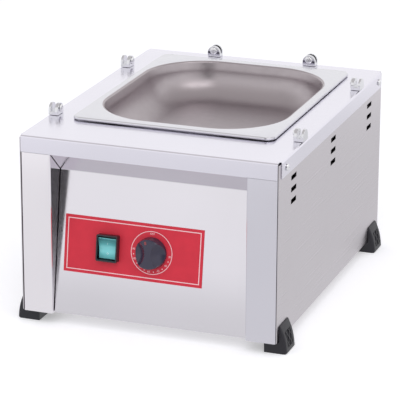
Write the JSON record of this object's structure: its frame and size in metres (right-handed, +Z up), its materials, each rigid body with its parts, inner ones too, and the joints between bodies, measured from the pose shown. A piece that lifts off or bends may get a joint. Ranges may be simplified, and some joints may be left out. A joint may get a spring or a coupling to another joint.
{
  "type": "bain marie",
  "caption": "Counter-top bain marie: polished sheet cabinet with a water tank, a lift-out food pan, a sloped panel with switch and thermostat knob, glass clips and corner feet.",
  "frame": {"origin": "middle of the footprint, on the surface that the feet stand on", "axes": "+X to the user's right, +Y from the control panel to the rear, +Z up"},
  "size_m": [0.354, 0.452, 0.2578],
  "materials": {
    "polished_steel": "polished",
    "sheet_steel": "brushed",
    "pan_steel": "satin",
    "chrome_fitting": "bright",
    "brass_fitting": "plain",
    "capillary_tube": "bare copper",
    "black_plastic": "moulded",
    "knob_plastic": "semi-gloss",
    "label_film": "printed film",
    "rocker_plastic": "gloss",
    "pale_plastic": "moulded"
  },
  "bodies": {
    "cabinet": {"top_panel": "polished_steel", "side_panel_left": "sheet_steel", "side_panel_right": "sheet_steel", "post_left": "polished_steel", "post_right": "polished_steel", "control_panel": "polished_steel", "rear_panel": "sheet_steel", "bottom_plate": "sheet_steel", "tank": "sheet_steel", "heating_element": "pan_steel", "element_support": "pan_steel", "element_nut_left": "brass_fitting", "element_nut_right": "brass_fitting", "capillary": "capillary_tube", "capillary_gland": "brass_fitting", "foot_front_left": "black_plastic", "foot_front_right": "black_plastic", "foot_rear_left": "black_plastic", "foot_rear_right": "black_plastic", "foot_screw_front_left": "pan_steel", "foot_screw_front_right": "pan_steel", "foot_screw_rear_left": "pan_steel", "foot_screw_rear_right": "pan_steel", "control_label": "label_film", "switch_housing": "black_plastic", "thermostat_body": "pale_plastic", "clip_left_front": "chrome_fitting", "clip_left_rear": "chrome_fitting", "clip_right_front": "chrome_fitting", "clip_right_rear": "chrome_fitting", "clip_rear_left": "chrome_fitting", "clip_rear_right": "chrome_fitting", "clip_screw_left_front": "chrome_fitting", "clip_screw_left_rear": "chrome_fitting", "clip_screw_right_front": "chrome_fitting", "clip_screw_right_rear": "chrome_fitting", "clip_screw_rear_left": "chrome_fitting", "clip_screw_rear_right": "chrome_fitting", "side_screw_left_front": "chrome_fitting", "side_screw_left_rear": "chrome_fitting", "side_screw_right_front": "chrome_fitting", "side_screw_right_rear": "chrome_fitting", "rear_screw_upper_left": "chrome_fitting", "rear_screw_upper_right": "chrome_fitting", "rear_screw_lower_left": "chrome_fitting", "rear_screw_lower_right": "chrome_fitting", "cord_gland": "black_plastic", "cord_gland_nut": "black_plastic", "terminal_block": "pale_plastic", "earth_stud": "brass_fitting"},
    "food_pan": {"pan": "pan_steel"},
    "rocker": {"switch_rocker": "rocker_plastic"},
    "knob": {"thermostat_knob": "knob_plastic", "thermostat_shaft": "pan_steel"}
  },
  "joints": [
    {"name": "pan_lift", "type": "slide", "parent": "cabinet", "child": "food_pan", "axis": [0, 0, 1], "range_m": [0, 0.2]},
    {"name": "rocker_tip", "type": "hinge", "parent": "cabinet", "child": "rocker", "pos_m": [-0.0571, -0.20849, 0.10514], "axis": [-1, 0, 0], "range_deg": [0, 20]},
    {"name": "knob_turn", "type": "hinge", "parent": "cabinet", "child": "knob", "pos_m": [-0.0011, -0.2075, 0.10499], "axis": [0, 0.9889, -0.1483], "range_deg": [0, 300]}
  ]
}
